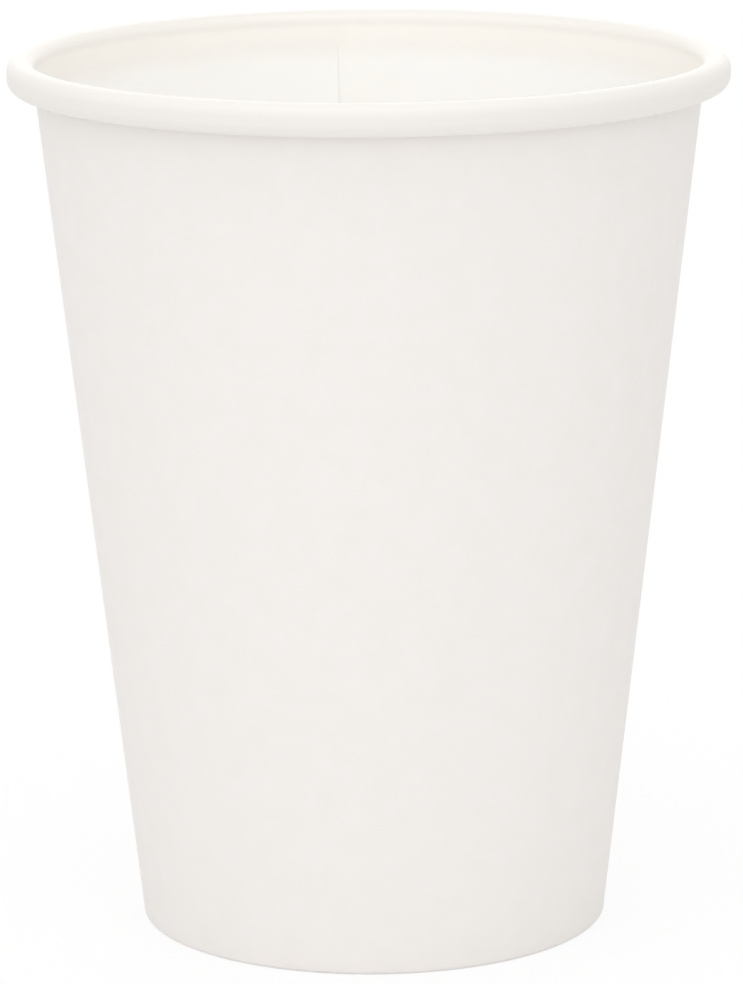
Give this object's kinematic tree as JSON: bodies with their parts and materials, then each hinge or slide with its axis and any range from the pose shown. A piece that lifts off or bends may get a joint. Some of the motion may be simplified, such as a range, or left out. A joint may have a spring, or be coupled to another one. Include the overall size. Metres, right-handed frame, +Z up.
{
  "type": "paper coffee cup",
  "caption": "Open, tapered single-wall paper cup for a hot drink, with a rolled lip, a lapped side seam and a raised bottom.",
  "frame": {"origin": "on the table at the centre of the cup's foot", "axes": "+Z up along the cup's axis, -Y towards the viewer of the picture, with the side seam at the back, near +Y"},
  "size_m": [0.09, 0.09, 0.1105],
  "materials": {
    "wall_board": "uncoated white cup board outside, with a thin plastic film inside and over the lip",
    "disc_board": "white cup board with a thin plastic film on top"
  },
  "bodies": {
    "root": {"sidewall": "wall_board", "bottom_disc": "disc_board"}
  },
  "joints": []
}
